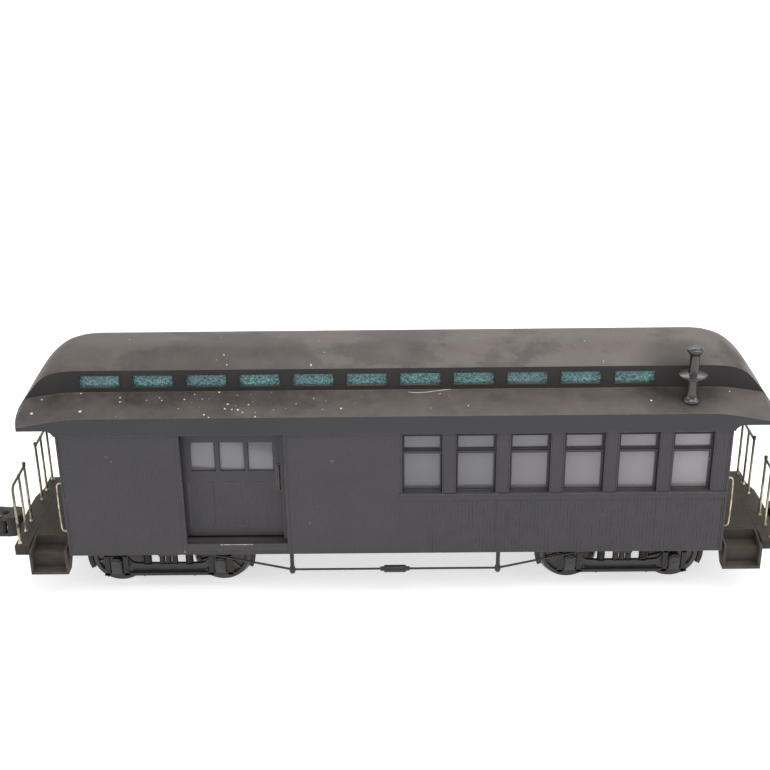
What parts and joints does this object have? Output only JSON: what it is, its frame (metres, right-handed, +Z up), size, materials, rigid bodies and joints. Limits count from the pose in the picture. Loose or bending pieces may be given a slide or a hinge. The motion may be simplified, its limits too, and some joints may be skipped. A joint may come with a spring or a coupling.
{
  "type": "model passenger coach",
  "caption": "Large-scale model railway combine coach: baggage and passenger body with clerestory roof, open end platforms, swivelling trucks and knuckle couplers.",
  "frame": {"origin": "under the middle of the car, at the level of the lowest points of the wheel flanges", "axes": "+X along the car towards the passenger end, +Y across the car, +Z up"},
  "size_m": [0.58, 0.107, 0.1834],
  "materials": {
    "coach_body": "satin dark grey-black paint",
    "roof_paint": "matte dusty grey-brown",
    "underframe_paint": "matte black",
    "truss_metal": "blackened steel",
    "platform_paint": "matte dusty brown-black",
    "rail_brass": "brass with worn black paint",
    "teal_glazing": "translucent textured teal",
    "window_glazing": "hazy grey clear sheet",
    "sash_paint": "satin dark grey",
    "truck_casting": "matte black casting",
    "spring_steel": "blackened steel",
    "wheel_metal": "dark metal, polished tread",
    "axle_steel": "steel",
    "coupler_casting": "matte black",
    "pin_steel": "steel"
  },
  "bodies": {
    "car_body": {"floor": "underframe_paint", "underframe": "underframe_paint", "cross_members": "underframe_paint", "kingpins": "pin_steel", "truss_rods": "truss_metal", "turnbuckles": "truss_metal", "queen_posts": "truss_metal", "rear_platform": "platform_paint", "front_platform": "platform_paint", "platform_steps": "platform_paint", "platform_railings": "rail_brass", "grab_irons": "rail_brass", "left_side_wall": "coach_body", "right_side_wall": "coach_body", "rear_end_wall": "coach_body", "front_end_wall": "coach_body", "roof": "roof_paint", "clerestory_glazing": "teal_glazing", "smokejack": "roof_paint", "left_window_sashes": "sash_paint", "right_window_sashes": "sash_paint", "window_glazing": "window_glazing", "baggage_door_rails": "underframe_paint", "coupler_pockets": "coupler_casting"},
    "left_baggage_door": {"left_baggage_door": "coach_body", "left_baggage_door_glazing": "window_glazing", "left_baggage_door_handle": "truss_metal"},
    "right_baggage_door": {"right_baggage_door": "coach_body", "right_baggage_door_glazing": "window_glazing", "right_baggage_door_handle": "truss_metal"},
    "front_end_door": {"front_end_door": "coach_body", "front_end_door_glazing": "window_glazing"},
    "front_coupler": {"front_coupler": "coupler_casting", "front_knuckle_pin": "pin_steel"},
    "front_coupler_knuckle": {"front_coupler_knuckle": "coupler_casting"},
    "front_truck": {"front_truck_frame": "truck_casting", "front_truck_bolster": "truck_casting", "front_truck_equalizers": "truck_casting", "front_truck_journal_boxes": "truck_casting", "front_truck_springs": "spring_steel", "front_truck_brake_shoes": "truck_casting"},
    "front_truck_front_wheelset": {"front_truck_front_wheels": "wheel_metal", "front_truck_front_axle": "axle_steel"},
    "front_truck_rear_wheelset": {"front_truck_rear_wheels": "wheel_metal", "front_truck_rear_axle": "axle_steel"},
    "rear_end_door": {"rear_end_door": "coach_body", "rear_end_door_glazing": "window_glazing"},
    "rear_coupler": {"rear_coupler": "coupler_casting", "rear_knuckle_pin": "pin_steel"},
    "rear_coupler_knuckle": {"rear_coupler_knuckle": "coupler_casting"},
    "rear_truck": {"rear_truck_frame": "truck_casting", "rear_truck_bolster": "truck_casting", "rear_truck_equalizers": "truck_casting", "rear_truck_journal_boxes": "truck_casting", "rear_truck_springs": "spring_steel", "rear_truck_brake_shoes": "truck_casting"},
    "rear_truck_front_wheelset": {"rear_truck_front_wheels": "wheel_metal", "rear_truck_front_axle": "axle_steel"},
    "rear_truck_rear_wheelset": {"rear_truck_rear_wheels": "wheel_metal", "rear_truck_rear_axle": "axle_steel"}
  },
  "joints": [
    {"name": "front_truck_swivel", "type": "hinge", "parent": "car_body", "child": "front_truck", "pos_m": [-0.158, 0, 0.03], "axis": [0, 0, 1], "range_deg": [-8, 8]},
    {"name": "rear_truck_swivel", "type": "hinge", "parent": "car_body", "child": "rear_truck", "pos_m": [0.158, 0, 0.03], "axis": [0, 0, 1], "range_deg": [-8, 8]},
    {"name": "front_truck_front_wheel_spin", "type": "hinge", "parent": "front_truck", "child": "front_truck_front_wheelset", "pos_m": [-0.19433, 0, 0.02125], "axis": [0, 1, 0], "continuous": true},
    {"name": "front_truck_rear_wheel_spin", "type": "hinge", "parent": "front_truck", "child": "front_truck_rear_wheelset", "pos_m": [-0.12167, 0, 0.02125], "axis": [0, 1, 0], "continuous": true},
    {"name": "rear_truck_front_wheel_spin", "type": "hinge", "parent": "rear_truck", "child": "rear_truck_front_wheelset", "pos_m": [0.12167, 0, 0.02125], "axis": [0, 1, 0], "continuous": true},
    {"name": "rear_truck_rear_wheel_spin", "type": "hinge", "parent": "rear_truck", "child": "rear_truck_rear_wheelset", "pos_m": [0.19433, 0, 0.02125], "axis": [0, 1, 0], "continuous": true},
    {"name": "front_coupler_swing", "type": "hinge", "parent": "car_body", "child": "front_coupler", "pos_m": [-0.246, 0, 0.034], "axis": [0, 0, 1], "range_deg": [-10, 10]},
    {"name": "rear_coupler_swing", "type": "hinge", "parent": "car_body", "child": "rear_coupler", "pos_m": [0.246, 0, 0.034], "axis": [0, 0, 1], "range_deg": [-10, 10]},
    {"name": "front_knuckle_open", "type": "hinge", "parent": "front_coupler", "child": "front_coupler_knuckle", "pos_m": [-0.2824, -0.0066, 0.0355], "axis": [0, 0, 1], "range_deg": [0, 35]},
    {"name": "rear_knuckle_open", "type": "hinge", "parent": "rear_coupler", "child": "rear_coupler_knuckle", "pos_m": [0.2824, 0.0066, 0.0355], "axis": [0, 0, 1], "range_deg": [0, 35]},
    {"name": "left_baggage_door_slide", "type": "slide", "parent": "car_body", "child": "left_baggage_door", "axis": [-1, 0, 0], "range_m": [0, 0.06]},
    {"name": "right_baggage_door_slide", "type": "slide", "parent": "car_body", "child": "right_baggage_door", "axis": [-1, 0, 0], "range_m": [0, 0.06]},
    {"name": "rear_end_door_hinge", "type": "hinge", "parent": "car_body", "child": "rear_end_door", "pos_m": [0.2186, -0.0123, 0.08], "axis": [0, 0, 1], "range_deg": [0, 85]},
    {"name": "front_end_door_hinge", "type": "hinge", "parent": "car_body", "child": "front_end_door", "pos_m": [-0.2186, -0.0123, 0.08], "axis": [0, 0, 1], "range_deg": [-85, 0]}
  ]
}
